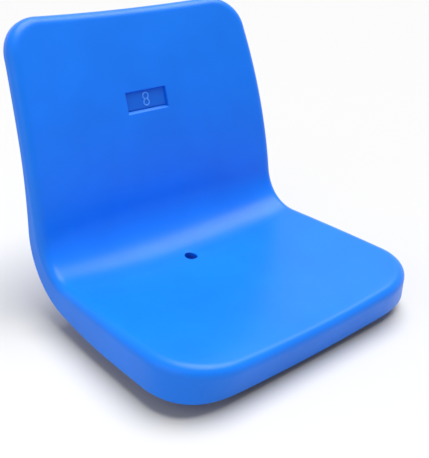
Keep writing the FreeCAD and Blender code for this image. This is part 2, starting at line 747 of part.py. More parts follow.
# Each rail is one pressed strip: a raised web, a wide slotted flange and a narrow plain one.
def build_rail(side, hand):
    """Pressed steel rail."""
    name = "rail_" + side
    middle = "%d * [rail_spacing] / 2" % hand
    outer = "[rail_web] / 2 + [rail_flange]"
    inner = "[rail_web] / 2 + [rail_return]"
    low = "-(%s)" % (outer if hand < 0 else inner)
    start = "-[rail_length] / 2"
    wall_height = "[rail_height] - [rail_gauge]"
    strips = [
        block("Box", name + "_web",
              {"Length": "[rail_web]", "Width": "[rail_length]", "Height": "[rail_gauge]"},
              middle + " - [rail_web] / 2", start, wall_height),
        block("Box", name + "_foot",
              {"Length": "%s + %s" % (outer, inner), "Width": "[rail_length]", "Height": "[rail_gauge]"},
              middle + " + " + low, start, "0"),
    ]
    for number, shift in enumerate(("-[rail_web] / 2", "[rail_web] / 2 - [rail_gauge]")):
        strips.append(block("Box", "%s_wall_%d" % (name, number),
                            {"Length": "[rail_gauge]", "Width": "[rail_length]", "Height": "[rail_height]"},
                            middle + " + " + shift, start, "0"))
    channel = block("Box", name + "_channel",
                    {"Length": "[rail_web] - 2 * [rail_gauge]", "Width": "[rail_length] + 2", "Height": "[rail_gauge] + 1"},
                    middle + " - [rail_web] / 2 + [rail_gauge]", start + " - 1", "-1")
    sheet_metal = cut(name + "_strip", joined(name + "_folded", strips), channel)
    doc.recompute()
    gauge = size("rail_gauge")
    half = size("rail_web") / 2.0
    centre = hand * size("rail_spacing") / 2.0
    bends = (
        (half, size("rail_height"), 2.0 * gauge),
        (half - gauge, size("rail_height") - gauge, gauge),
        (half, gauge, gauge),
        (half - gauge, 0.0, 2.0 * gauge),
    )
    edges = []
    for across, up, radius in bends:
        along = edges_where(
            sheet_metal.Shape,
            lambda edge, p: abs(abs(p.x - centre) - across) < 0.01 and abs(p.z - up) < 0.01
            and abs(edge.Length - size("rail_length")) < 0.01,
        )
        edges += [(number, radius) for number in along]
    bent = rounded(name + "_bent", sheet_metal, "Fillet", edges)
    tools = []
    for row, front in ROWS:
        y = "%d * [bolt_spacing] / 2" % front
        hole = {"Radius": "[bolt_hole] / 2", "Height": "[rail_gauge] + 2"}
        tools.append(block("Cylinder", "%s_bolt_hole_%s" % (name, row), hole, middle, y, wall_height + " - 1"))
        slot_x = "%d * ([rail_spacing] / 2 + [rail_web] / 2 + ([rail_gauge] + [rail_flange]) / 2)" % hand
        slot_y = "%d * [slot_spacing] / 2" % front
        reach = "([slot_length] - [slot_width]) / 2"
        end = {"Radius": "[slot_width] / 2", "Height": "[rail_gauge] + 2"}
        for part, sign in enumerate(("-", "+")):
            tools.append(block("Cylinder", "%s_slot_end_%s_%d" % (name, row, part), end,
                               "%s %s %s" % (slot_x, sign, reach), slot_y, "-1"))
        tools.append(block("Box", "%s_slot_middle_%s" % (name, row),
                           {"Length": "2 * " + reach, "Width": "[slot_width]", "Height": "[rail_gauge] + 2"},
                           "%s - %s" % (slot_x, reach), slot_y + " - [slot_width] / 2", "-1"))
    pierced = cut(name + "_pierced", bent, joined(name + "_piercings", tools))
    doc.recompute()
    corners = edges_where(
        pierced.Shape,
        lambda edge, p: abs(edge.Length - gauge) < 0.01 and abs(p.z - gauge / 2.0) < 0.01
        and abs(abs(p.y) - size("rail_length") / 2.0) < 0.01,
    )
    return rounded(name, pierced, "Fillet", [(number, 5.0) for number in corners])


# The fastenings, one set under each boss: insert, flat washer, spring washer and bolt.
def stack_place(front, hand):
    """Formulas for the place of one set of fastenings."""
    return "%d * [rail_spacing] / 2" % hand, "%d * [bolt_spacing] / 2" % front


def build_insert(name, x, y):
    """Brass insert with a locking waist, moulded into a boss."""
    body = block("Cylinder", name + "_body",
                 {"Radius": "[insert_diameter] / 2", "Height": "[insert_length]"}, x, y, "[rail_height]")
    bore = block("Cylinder", name + "_bore",
                 {"Radius": "[bolt_diameter] / 2", "Height": "[insert_length] + 2"}, x, y, "[rail_height] - 1")
    return cut(name, body, joined(name + "_spaces", [bore, waist(name + "_waist", x, y)]))


def build_washer(name, x, y):
    """Flat washer under the rail's web."""
    foot = "[rail_height] - [rail_gauge] - [washer_thickness]"
    disc = block("Cylinder", name + "_disc",
                 {"Radius": "[washer_diameter] / 2", "Height": "[washer_thickness]"}, x, y, foot)
    hole = block("Cylinder", name + "_hole",
                 {"Radius": "[washer_hole] / 2", "Height": "[washer_thickness] + 2"}, x, y, foot + " - 1")
    return cut(name, disc, hole)


def build_spring_washer(name, x, y):
    """Split washer between the flat washer and the bolt's head."""
    foot = "[rail_height] - [rail_gauge] - [washer_thickness] - [spring_thickness]"
    disc = block("Cylinder", name + "_disc",
                 {"Radius": "[spring_diameter] / 2", "Height": "[spring_thickness]"}, x, y, foot)
    hole = block("Cylinder", name + "_hole",
                 {"Radius": "[washer_hole] / 2", "Height": "[spring_thickness] + 2"}, x, y, foot + " - 1")
    split = block("Box", name + "_split",
                  {"Length": "[spring_diameter]", "Width": "[spring_split]", "Height": "[spring_thickness] + 2"},
                  x, y + " - [spring_split] / 2", foot + " - 1")
    return cut(name, disc, joined(name + "_spaces", [hole, split]))


def build_bolt(name, x, y):
    """M8 hexagon bolt, head down."""
    seat = "[rail_height] - [rail_gauge] - [washer_thickness] - [spring_thickness]"
    head = block("Prism", name + "_hexagon",
                 {"Circumradius": "[bolt_flats] / 1.7320508", "Height": "[bolt_head]"}, x, y, seat + " - [bolt_head]")
    head.Polygon = 6
    crown = block("Cone", name + "_crown",
                  {"Radius1": "[bolt_flats] / 2", "Radius2": "[bolt_flats] / 2 + 1.8 * [bolt_head]", "Height": "[bolt_head]"},
                  x, y, seat + " - [bolt_head]")
    chamfered = doc.addObject("Part::Common", name + "_head")
    chamfered.Base = head
    chamfered.Tool = crown
    tip = 1.0
    shank = block("Cylinder", name + "_shank",
                  {"Radius": "[bolt_diameter] / 2", "Height": "[bolt_length] - %g" % tip}, x, y, seat)
    point = block("Cone", name + "_point",
                  {"Radius1": "[bolt_diameter] / 2", "Radius2": "[bolt_diameter] / 2 - %g" % tip, "Height": "%g" % tip},
                  x, y, seat + " + [bolt_length] - %g" % tip)
    return joined(name, [chamfered, shank, point])


pieces = [build_shell(), build_number_plate()]
for side, hand in SIDES:
    pieces.append(build_retainer(side, hand))
    pieces.append(build_rail(side, hand))
for row, front in ROWS:
    for side, hand in SIDES:
        x, y = stack_place(front, hand)
        for kind, build in (
            ("insert", build_insert),
            ("washer", build_washer),
            ("spring_washer", build_spring_washer),
            ("bolt", build_bolt),
        ):
            pieces.append(build("%s_%s_%s" % (kind, row, side), x, y))
doc.recompute()

for item in doc.Objects:
    if "Invalid" in item.State or "Error" in item.State:
        raise RuntimeError("%s did not build: %s" % (item.Name, item.State))
os.makedirs("parts", exist_ok=True)
for item in pieces:
    item.Label = item.Name
    shape = item.Shape
    if shape.isNull() or not shape.isValid() or len(shape.Solids) != 1:
        raise RuntimeError("%s is not one sound solid" % item.Label)
    if shape.Volume <= 0.0:
        raise RuntimeError("%s has no volume" % item.Label)
for item in pieces:
    item.Shape.exportStep("parts/%s.step" % item.Label)
    box = item.Shape.BoundBox
    print("%-28s %8.1f cm3  x %7.1f %7.1f  y %7.1f %7.1f  z %6.1f %6.1f" % (
        item.Label, item.Shape.Volume / 1000.0, box.XMin, box.XMax, box.YMin, box.YMax, box.ZMin, box.ZMax))
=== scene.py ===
import math

import bpy
import numpy as np
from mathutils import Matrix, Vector


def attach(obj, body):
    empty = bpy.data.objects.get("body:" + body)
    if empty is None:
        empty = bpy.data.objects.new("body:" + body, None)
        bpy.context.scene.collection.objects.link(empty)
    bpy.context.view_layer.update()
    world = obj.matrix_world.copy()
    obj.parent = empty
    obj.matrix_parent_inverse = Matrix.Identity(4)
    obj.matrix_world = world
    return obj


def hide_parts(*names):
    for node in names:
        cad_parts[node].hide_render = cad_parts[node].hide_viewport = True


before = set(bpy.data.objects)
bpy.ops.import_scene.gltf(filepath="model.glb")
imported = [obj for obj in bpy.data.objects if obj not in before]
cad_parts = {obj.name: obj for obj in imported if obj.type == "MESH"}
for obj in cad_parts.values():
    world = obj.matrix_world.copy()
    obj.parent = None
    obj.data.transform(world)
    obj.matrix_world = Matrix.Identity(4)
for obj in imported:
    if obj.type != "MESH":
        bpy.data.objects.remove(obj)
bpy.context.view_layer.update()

mm = 0.001

# Seat moulding
# The seat shell is one injection moulding of blue polypropylene: a dished pan that rolls down at
# the front, a tight bend and a backrest that curls away, with a rounded rim and a skirt all round.
# Ribs, four bosses and the housing of the number pocket stand behind the 4.5 mm wall.

# Sizes are in millimetres, and s is the length along the middle line from the front edge.
SHELL_PATH = 660.0
PAN_PATH = 274.0
PAN_ANGLE = -math.radians(0.5)
BACK_ANGLE = math.radians(84.8)
BEND_RADIUS = 61.0
BEND_PATH = (BACK_ANGLE - PAN_ANGLE) * BEND_RADIUS
BACK_START = PAN_PATH + BEND_PATH
CURL_PER_MM = math.radians(6.3) / 100.0
FRONT_ROLL = math.radians(18.8)
FRONT_ROLL_PATH = 60.0
DISH_DEPTH = 24.0
FRONT_HALF = 215.0
MIDDLE_HALF = 219.4
TOP_HALF = 198.2
FRONT_CORNER = 90.5
TOP_CORNER = 57.3
FRONT_BOW = 6.0
SHELL_SETBACK = 145.0
SHELL_HEIGHT = 68.0
WALL = 4.5
RIM = 16.0
SKIRT_DRAFT = 0.083


def smooth(t):
    """Eased step: 3 t squared less 2 t cubed, with t kept from 0 to 1."""
    t = np.clip(t, 0.0, 1.0)
    return t * t * (3.0 - 2.0 * t)


def heading(s):
    """Slope of the middle line: level pan, eased bend, steady curl up the back, rolled front."""
    t = np.clip((s - PAN_PATH) / BEND_PATH, 0.0, 1.0)
    angle = PAN_ANGLE + (BACK_ANGLE - PAN_ANGLE) * (0.55 * t + 0.45 * smooth(t))
    angle = angle - CURL_PER_MM * np.maximum(s - BACK_START, 0.0)
    return angle + FRONT_ROLL * np.maximum(1.0 - s / FRONT_ROLL_PATH, 0.0) ** 2


# The middle line is the sum of steps of 1 mm along the heading, from 80 mm before the front edge.
LEAD = 80
path_s = np.arange(-LEAD, SHELL_PATH + LEAD + 1.0)
step_heading = heading(path_s[:-1] + 0.5)
path_y = np.concatenate([[0.0], np.cumsum(np.cos(step_heading))])
path_z = np.concatenate([[0.0], np.cumsum(np.sin(step_heading))])
path_y -= path_y[LEAD]
path_z -= path_z[LEAD]


def dish(x, s):
    """Hollow: 24 mm times (1 less x squared over half width squared), shallower at the front."""
    t = np.clip(s / SHELL_PATH, 0.0, 1.0)
    share = np.where(t < 0.5, 0.41 + 0.59 * np.sin(np.pi * t) ** 0.8, 1.0)
    return DISH_DEPTH * share * (1.0 - np.minimum(np.abs(x) / MIDDLE_HALF, 1.0) ** 2)


def seat_point(x, s, depth):
    """Middle line point, moved back along its normal by the hollow plus the depth, in metres."""
    behind = depth + dish(x, s)
    angle = heading(s)
    y = np.interp(s, path_s, path_y) + np.sin(angle) * behind - SHELL_SETBACK
    z = np.interp(s, path_s, path_z) - np.cos(angle) * behind + SHELL_HEIGHT
    return np.stack([x + 0.0 * y, y, z], axis=-1) * mm


def half_width(s):
    """Parabola through the half widths at the front, the middle and the top."""
    t = s / SHELL_PATH
    front = FRONT_HALF * (1.0 - t) * (1.0 - 2.0 * t)
    return front + MIDDLE_HALF * 4.0 * t * (1.0 - t) + TOP_HALF * t * (2.0 * t - 1.0)


def dense_outline(count=6000):
    """Right half of the outline: bowed front, corner arc, side and top arc, in equal steps and
    with a smoothed outward normal at each point."""
    front_half = half_width(FRONT_CORNER)
    top_half = half_width(SHELL_PATH - TOP_CORNER)
    front_flat = front_half - FRONT_CORNER
    top_flat = top_half - TOP_CORNER
    lift = FRONT_BOW * (front_flat / front_half) ** 2
    x0 = np.linspace(0.0, front_flat, 400, endpoint=False)
    a = np.linspace(0.0, np.pi / 2.0, 400)
    side = np.linspace(FRONT_CORNER, SHELL_PATH - TOP_CORNER, 800)[1:-1]
    x = np.concatenate([x0, front_flat + FRONT_CORNER * np.sin(a), half_width(side),
                        top_flat + TOP_CORNER * np.cos(a), np.linspace(top_flat, 0.0, 400)[1:]])
    s = np.concatenate([FRONT_BOW * (x0 / front_half) ** 2,
                        FRONT_CORNER * (1.0 - np.cos(a)) + lift * np.cos(a), side,
                        SHELL_PATH - TOP_CORNER + TOP_CORNER * np.sin(a), np.full(399, SHELL_PATH)])
    run = np.concatenate([[0.0], np.cumsum(np.hypot(np.diff(x), np.diff(s)))])
    even = np.linspace(0.0, run[-1], count + 1)
    x = np.interp(even, run, x)
    s = np.interp(even, run, s)
    ring = np.concatenate([x + 1j * s, (-x + 1j * s)[-2:0:-1]])
    tangent = np.roll(ring, -1) - np.roll(ring, 1)
    tangent /= np.abs(tangent)
    turns = np.fft.fftfreq(len(ring)) * 2.0 * np.pi
    soften = np.exp(-0.5 * (turns * 6.0 / (run[-1] / count)) ** 2)
    tangent = np.fft.ifft(np.fft.fft(tangent) * soften)
    tangent /= np.abs(tangent)
    normal = (-1j * tangent)[:count + 1]
    return even, x, s, normal.real, normal.imag, front_flat, top_flat


run, out_x, out_s, out_nx, out_ns, front_flat, top_flat = dense_outline()
in_x = out_x - RIM * out_nx
in_s = out_s - RIM * out_ns
front_end = int(np.argmax(out_x >= front_flat))
top_end = len(run) - 1 - int(np.argmax(out_x[::-1] >= top_flat))


def lines(special, start, end, step):
    """Grid lines: the special ones, and even ones between them where there is room."""
    even = np.linspace(start, end, int(round((end - start) / step)) + 1)
    special = np.unique(np.round(special, 4))
    special = special[(special > start + 0.05) & (special < end - 0.05)]
    gap = np.abs(even[:, None] - special[None, :]).min(axis=1)
    even = even[(gap > 0.45 * step) | (even == start) | (even == end)]
    return np.unique(np.concatenate([even, special]))


# Profiles of the small forms: distance in from the edge, and the share of the full depth there.
POCKET_IN = np.array([-1.0, -0.55, -0.2, 0.0, 0.30, 0.50, 0.9])
POCKET_SHARE = np.array([0.0, 0.015, 0.06, 0.16, 0.90, 0.975, 1.0])
SILL_IN = np.array([-0.9, -0.3, 0.2, 0.6, 4.8, 5.2, 5.9])
SILL_SHARE = np.array([0.0, 0.015, 0.055, 0.12, 0.92, 0.985, 1.0])
RIB_SIDE = np.array([2.7, 2.1, 1.8, 1.45, 1.25, 0.9])
RIB_SHARE = np.array([0.0, 0.02, 0.07, 0.94, 0.99, 1.0])
POCKET_S = 517.0
POCKET_TOP = POCKET_S + 16.5
POCKET_SILL = POCKET_S - 16.5
HOUSING_IN = np.array([-1.4, -0.8, -0.45, -0.2, 0.0, 0.5])
HOUSING_SHARE = np.array([0.0, 0.06, 0.2, 0.85, 0.97, 1.0])
POCKET_HALF = 36.0
POCKET_DEPTH = 5.5
HOUSING_HALF = 39.0
HOUSING_TOP = POCKET_S + 19.6
HOUSING_SILL = POCKET_S - 13.0
HOLE_S = 280.0
HOLE_R = 8.75
HOLE_ROUND = 1.2
HOLE_LINES = np.array([0.0, 1.75, 3.5, 5.25, 7.0])
HOLE_AROUND = np.array([7.3, 7.7, 8.2, 9.5, 12.0, 16.0, 21.0, 26.0])
LONG_RIBS = (-110.0, -45.0, 45.0, 110.0)
CROSS_RIBS = (75.3, 215.1)
LONG_RIB_START = 34.0
LONG_RIB_END = 430.0
CROSS_RIB_HALF = 165.0
RIB_RELIEF = 11.0
RIB_SUNK = 1.35
HOUSING_RELIEF = 4.5
FADE_END = 62.0


def both(values):
    """The distances to either side."""
    return np.concatenate([-values, values])


# Grid lines lie where the small forms start and end: across the seat, and along it.
column_special = np.concatenate(
    [[0.0], both(HOLE_LINES), both(HOLE_AROUND), both(POCKET_HALF - POCKET_IN),
     both(HOUSING_HALF - HOUSING_IN)]
    + [rib + both(RIB_SIDE) for rib in LONG_RIBS])
row_special = np.concatenate(
    [HOLE_S + both(HOLE_LINES), HOLE_S + both(HOLE_AROUND), POCKET_TOP - POCKET_IN, POCKET_SILL + SILL_IN,
     HOUSING_TOP - HOUSING_IN, HOUSING_SILL + HOUSING_IN]
    + [rib + both(RIB_SIDE) for rib in CROSS_RIBS])

# The middle columns end at CENTRE, and OUTER more share the rest of each half row.
CENTRE = 113.5
OUTER = 14
centre_columns = lines(column_special, -CENTRE, CENTRE, 5.0)

# Rows start at places along the outline: round the front corner, up the side, round the top one.
edge_s_range = in_s[front_end:top_end]
edge_l_range = run[front_end:top_end]
corner_l = np.linspace(run[front_end], np.interp(FRONT_CORNER, edge_s_range, edge_l_range), 26)
side_s = lines(row_special, FRONT_CORNER, SHELL_PATH - TOP_CORNER, 4.4)
side_l = np.interp(side_s, edge_s_range, edge_l_range)
low_special = row_special[row_special < FRONT_CORNER - 0.1]
low_l = np.interp(low_special, edge_s_range, edge_l_range)
keep = np.abs(corner_l[:, None] - low_l[None, :]).min(axis=1) > 2.0
top_l = np.linspace(side_l[-1], run[top_end], 20)
row_l = np.unique(np.round(np.concatenate([corner_l[keep], low_l, side_l, top_l]), 4))
row_s = np.interp(row_l, run, in_s)
row_x = np.interp(row_l, run, in_x)
rows = len(row_l)


def column_places(half):
    """Across each row: fixed columns in the middle, then even shares out to the row's edge."""
    share = np.linspace(0.0, 1.0, OUTER + 1)[1:]
    right = CENTRE + (half[:, None] - CENTRE) * share[None, :]
    middle = np.broadcast_to(centre_columns, (len(half), len(centre_columns)))
    return np.concatenate([-right[:, ::-1], middle, right], axis=1)


grid_x = column_places(row_x)
columns = grid_x.shape[1]
bow = np.interp(np.abs(grid_x[0]), in_x[:front_end + 1], in_s[:front_end + 1])
fade = smooth(1.0 - (row_s - row_s[0]) / (FADE_END - row_s[0]))
grid_s = row_s[:, None] + (bow - bow[0])[None, :] * fade[:, None]

# Round the drain hole the square block of the grid, of half side 7, is pressed into a circle, and
# that fades out at 26 mm.
BLOCK_HALF = HOLE_LINES[-1]
BLOCK_REACH = HOLE_AROUND[-1]
p = grid_x
q = grid_s - HOLE_S
reach = np.maximum(np.abs(p), np.abs(q))
near = (reach < BLOCK_REACH - 0.1) & (reach >= BLOCK_HALF - 0.1)
share = np.clip((reach - BLOCK_HALF) / (BLOCK_REACH - BLOCK_HALF), 0.0, 1.0) ** 0.8
circle = (reach + HOLE_R - BLOCK_HALF) / np.maximum(np.hypot(p, q), 1e-6)
scale = np.where(near, circle * (1.0 - share) + share, 1.0)
grid_x = p * scale
grid_s = HOLE_S + q * scale


def sill_and_top(s, top, sill, top_in, top_share, sill_in, sill_share):
    """Lesser of the profiles from the upper edge and from the lower edge."""
    return np.minimum(np.interp(top - s, top_in, top_share), np.interp(s - sill, sill_in, sill_share))


def front_depth(x, s):
    """Depth of the pocket, whose floor is flat, and of the drain hole's rounded edge."""
    along = sill_and_top(s, POCKET_TOP, POCKET_SILL, POCKET_IN, POCKET_SHARE, SILL_IN, SILL_SHARE)
    share = np.minimum(along, np.interp(POCKET_HALF - np.abs(x), POCKET_IN, POCKET_SHARE))
    pocket = share * (POCKET_DEPTH + dish(0.0 * x, s) - dish(x, s))
    from_hole = np.clip(np.hypot(x, s - HOLE_S) - HOLE_R, 0.0, HOLE_ROUND)
    return pocket + HOLE_ROUND - np.sqrt(HOLE_ROUND ** 2 - (HOLE_ROUND - from_hole) ** 2)


def rib_height(distance, ramp):
    """A rib rises in a straight line over its ramp, from inside the wall to its full height."""
    return np.maximum((RIB_RELIEF + RIB_SUNK) * np.minimum(distance / ramp, 1.0) - RIB_SUNK, 0.0)


def back_depth(x, s):
    """Wall thickness, plus the highest of the housing and the ribs."""
    along = sill_and_top(s, HOUSING_TOP, HOUSING_SILL, HOUSING_IN, HOUSING_SHARE, HOUSING_IN, HOUSING_SHARE)
    share = np.minimum(along, np.interp(HOUSING_HALF - np.abs(x), HOUSING_IN, HOUSING_SHARE))
    extra = share * (HOUSING_RELIEF + dish(0.0 * x, s) - dish(x, s))
    ends = np.minimum(rib_height(s - LONG_RIB_START, 24.0), rib_height(LONG_RIB_END - s, 110.0))
    for rib in LONG_RIBS:
        extra = np.maximum(extra, ends * np.interp(-np.abs(x - rib), -RIB_SIDE, RIB_SHARE))
    ends = rib_height(CROSS_RIB_HALF - np.abs(x), 32.0)
    for rib in CROSS_RIBS:
        extra = np.maximum(extra, ends * np.interp(-np.abs(s - rib), -RIB_SIDE, RIB_SHARE))
    return WALL + extra


PAN_SKIRT = 49.6
BACK_SKIRT = 22.0


def skirt_depth(s):
    """Depth of the skirt: even round the pan, then easing to the lesser depth round the back."""
    fall = smooth((s - 0.6 * PAN_PATH) / (0.75 * SHELL_PATH - 0.6 * PAN_PATH))
    return PAN_SKIRT - (PAN_SKIRT - BACK_SKIRT) * fall


def border(grid):
    """Values round a grid's edge: along the front, up the right, back along the top, down the left."""
    return np.concatenate([grid[0], grid[1:, -1], grid[-1, -2::-1], grid[-2:0:-1, 0]])


# The outline point and its normal beyond each point of the grid's edge.
front_l = np.interp(np.abs(grid_x[0]), in_x[:front_end + 1], run[:front_end + 1])
upper_l = np.interp(-np.abs(grid_x[-1]), -in_x[top_end:], run[top_end:])
edge_l = np.concatenate([front_l, row_l[1:], upper_l[-2::-1], row_l[-2:0:-1]])
edge_side = np.sign(border(grid_x))
edge_x = np.interp(edge_l, run, out_x) * edge_side
edge_s = np.interp(edge_l, run, out_s)
edge_nx = np.interp(edge_l, run, out_nx) * edge_side
edge_ns = np.interp(edge_l, run, out_ns)
foot = skirt_depth(edge_s)
FOOT_ROUND = 1.1


def rim_path():
    """Section from the seat surface over the rim, down the skirt, round the foot and back up
    inside: steps out from the outline and depths, one row for each ring."""
    a = np.linspace(0.0, np.pi / 2.0, 13)[1:, None]
    outs = [RIM * np.sin(a) - RIM + 0.0 * foot]
    depths = [RIM - RIM * np.cos(a) + 0.0 * foot]
    t = np.linspace(0.0, 1.0, 6)[1:, None]
    depth = RIM + t * (foot - FOOT_ROUND - RIM)
    outs.append(SKIRT_DRAFT * (depth - RIM))
    depths.append(depth)
    edge = SKIRT_DRAFT * (foot - RIM)
    b = np.linspace(0.0, np.pi / 2.0, 5)[1:, None]
    outs.append(edge - FOOT_ROUND * (1.0 - np.cos(b)))
    depths.append(foot - FOOT_ROUND * (1.0 - np.sin(b)))
    c = np.linspace(0.0, np.pi / 2.0, 5)[:, None]
    outs.append(edge - WALL + FOOT_ROUND * (1.0 - np.sin(c)))
    depths.append(foot - FOOT_ROUND * (1.0 - np.cos(c)))
    depth = RIM + t[::-1][1:] * (foot - FOOT_ROUND - RIM)
    outs.append(SKIRT_DRAFT * (depth - RIM) - WALL)
    depths.append(depth)
    a = np.linspace(np.pi / 2.0, 0.0, 11)[:-1, None]
    outs.append((RIM - WALL) * np.sin(a) - RIM + 0.0 * foot)
    depths.append(RIM - (RIM - WALL) * np.cos(a) + 0.0 * foot)
    return np.concatenate(outs), np.concatenate(depths)


ring_out, ring_depth = rim_path()
front_skin = seat_point(grid_x, grid_s, front_depth(grid_x, grid_s))
back_skin = seat_point(grid_x, grid_s, back_depth(grid_x, grid_s))
ring_skin = seat_point(edge_x + ring_out * edge_nx, edge_s + ring_out * edge_ns, ring_depth)

grid_ids = np.arange(rows * columns).reshape(rows, columns)
back_ids = grid_ids + rows * columns
ring_ids = np.arange(ring_out.size).reshape(ring_out.shape) + 2 * rows * columns
ring_ids = np.concatenate([[border(grid_ids)], ring_ids, [border(back_ids)]])


def cells(ids, wrap=False):
    """Four-sided faces between neighbouring rows and columns of point numbers."""
    if wrap:
        ids = np.concatenate([ids, ids[:, :1]], axis=1)
    return np.stack([ids[:-1, :-1], ids[:-1, 1:], ids[1:, 1:], ids[1:, :-1]], axis=-1)


span = 2.0 * BLOCK_HALF - 0.1
hole_cell = (np.abs(q[:-1, :-1] + q[1:, 1:]) < span) & (np.abs(p[:-1, :-1] + p[1:, 1:]) < span)
front_faces = cells(grid_ids)[~hole_cell]
back_faces = cells(back_ids)[~hole_cell][:, ::-1]
hole_rows = np.where(hole_cell.any(axis=1))[0]
hole_cols = np.where(hole_cell.any(axis=0))[0]
block = (slice(hole_rows[0], hole_rows[-1] + 2), slice(hole_cols[0], hole_cols[-1] + 2))
hole_faces = cells(np.stack([border(back_ids[block]), border(grid_ids[block])]), wrap=True).reshape(-1, 4)
rim_faces = cells(ring_ids[::-1], wrap=True).reshape(-1, 4)


def capped(ring):
    """Faces of a stack of rings, with a fan of quads closing the first and the last one."""
    ids = np.arange(ring.shape[0] * ring.shape[1]).reshape(ring.shape[:2])
    half = ids.shape[1] // 2
    caps = []
    for end, flip in ((ids[0], False), (ids[-1], True)):
        k = np.arange(half - 1)
        quad = np.stack([end[k], end[k + 1], end[2 * half - 2 - k], end[2 * half - 1 - k]], axis=-1)
        caps.append(quad[:, ::-1] if flip else quad)
    return np.concatenate([cells(ids, wrap=True).reshape(-1, 4)[:, ::-1]] + caps)


# The bosses stand on the rails. Their tops end inside the wall, which is lower at the rear.
BOSS_OUT = 110.0
BOSS_PITCH = 140.0


def boss(x, y):
    """Boss: a profile of radii and heights turned round the bolt's axis. Its side runs up into the
    wall, its foot is flat and its blind bore holds the insert."""
    top = 55.0 if y < 0.0 else 52.0
    radii = np.array([0.5, 13.0 + 0.03 * (top - 30.0), 13.05, 12.9, 12.5, 6.6, 6.0, 6.0, 0.5])
    heights = np.array([top, top, 31.2, 30.4, 30.0, 30.0, 30.6, 42.9, 42.9])
    turn = np.linspace(0.0, 2.0 * np.pi, 65)[:-1]
    ring = np.stack([x + radii[:, None] * np.cos(turn), y + radii[:, None] * np.sin(turn),
                     heights[:, None] + 0.0 * turn], axis=-1)
    return ring * mm


points = [front_skin.reshape(-1, 3), back_skin.reshape(-1, 3), ring_skin.reshape(-1, 3)]
faces = [front_faces, back_faces, rim_faces, hole_faces]
total = sum(len(part) for part in points)
for x in (-BOSS_OUT, BOSS_OUT):
    for y in (-BOSS_PITCH / 2.0, BOSS_PITCH / 2.0):
        ring = boss(x, y)
        points.append(ring.reshape(-1, 3))
        faces.append(capped(ring) + total)
        total += ring.shape[0] * ring.shape[1]


def spigot():
    """Short drip tube below the drain hole: a ring of wall 2.5 mm thick and 18 mm deep."""
    radii = np.array([11.4, 11.2, 10.8, 9.2, 8.85, 8.85])[:, None]
    depths = np.array([4.0, 17.6, 18.0, 18.0, 17.6, 4.0])[:, None]
    turn = np.linspace(0.0, 2.0 * np.pi, 49)[:-1]
    return seat_point(radii * np.cos(turn), HOLE_S + radii * np.sin(turn), depths + 0.0 * turn)


ring = spigot()
ids = np.arange(ring.shape[0] * ring.shape[1]).reshape(ring.shape[:2]) + total
points.append(ring.reshape(-1, 3))
faces.append(cells(np.concatenate([ids, ids[:1]]), wrap=True).reshape(-1, 4)[:, ::-1])


def add_mesh(name, points, faces, sharp=None):
    """Mesh object from rows of points and four-sided faces, smooth, at the origin."""
    mesh = bpy.data.meshes.new(name)
    mesh.vertices.add(len(points))
    mesh.vertices.foreach_set("co", np.ascontiguousarray(points, dtype=np.float32).ravel())
    mesh.loops.add(faces.size)
    mesh.loops.foreach_set("vertex_index", np.ascontiguousarray(faces, dtype=np.int32).ravel())
    mesh.polygons.add(len(faces))
    mesh.polygons.foreach_set("loop_start", np.arange(0, faces.size, 4, dtype=np.int32))
    mesh.update(calc_edges=True)
    mesh.validate()
    mesh.shade_smooth()
    if sharp is not None:
        mesh.set_sharp_from_angle(angle=math.radians(sharp))
    piece = bpy.data.objects.new(name, mesh)
    bpy.context.scene.collection.objects.link(piece)
    return piece


moulding = add_mesh("seat_moulding", np.concatenate(points), np.concatenate(faces), sharp=50.0)
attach(moulding, "root")
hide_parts("seat_shell")


def linear(colour):
    """sRGB hex colour as linear red, green and blue."""
    value = np.array([int(colour[i:i + 2], 16) for i in (1, 3, 5)]) / 255.0
    value = np.where(value <= 0.04045, value / 12.92, ((value + 0.055) / 1.055) ** 2.4)
    return (*value, 1.0)


def node(tree, kind, settings=None, **links):
    """Adds one node with its settings, and links or sets its inputs by name, or as n0 by number."""
    item = tree.nodes.new(kind)
    for key, value in (settings or {}).items():
        setattr(item, key, value)
    for key, value in links.items():
        socket = item.inputs[int(key[1:])] if key[1:].isdigit() else item.inputs[key.replace("_", " ")]
        if isinstance(value, bpy.types.NodeSocket):
            tree.links.new(value, socket)
        else:
            socket.default_value = value
    return item


def new_material(name):
    """Empty material with a Principled shader joined to its output."""
    material = bpy.data.materials.new(name)
    material.use_nodes = True
    tree = material.node_tree
    tree.nodes.clear()
    shader = node(tree, "ShaderNodeBsdfPrincipled")
    node(tree, "ShaderNodeOutputMaterial", Surface=shader.outputs["BSDF"])
    return material, tree, shader


# Moulded polypropylene: a strong even blue with a satin gloss, a fine spark-eroded grain drawn at
# 0.7 mm, and very slight clouding where the melt cooled unevenly. The spark-eroded skin scatters
# its shine, so the specular level is about half of what a polished surface of this IOR has.
polypropylene, tree, shader = new_material("polypropylene_moulded_blue")
place = node(tree, "ShaderNodeTexCoord").outputs["Object"]
grain = node(tree, "ShaderNodeTexNoise", Vector=place, Scale=1.0 / (0.7 * mm), Detail=3.0, Roughness=0.6)
cloud = node(tree, "ShaderNodeTexNoise", Vector=place, Scale=1.0 / (85.0 * mm), Detail=2.0)
wear = node(tree, "ShaderNodeTexNoise", Vector=place, Scale=1.0 / (9.0 * mm), Detail=5.0, Roughness=0.7)
tint = node(tree, "ShaderNodeValToRGB", Fac=cloud.outputs["Fac"])
tint.color_ramp.elements[0].position = 0.35
tint.color_ramp.elements[0].color = linear("#0f78ef")
tint.color_ramp.elements[1].position = 0.68
tint.color_ramp.elements[1].color = linear("#117df6")
gloss = node(tree, "ShaderNodeMapRange", Value=wear.outputs["Fac"],
             From_Min=0.3, From_Max=0.75, To_Min=0.31, To_Max=0.41)
bump = node(tree, "ShaderNodeBump", Height=grain.outputs["Fac"], Strength=0.08, Distance=0.05 * mm)
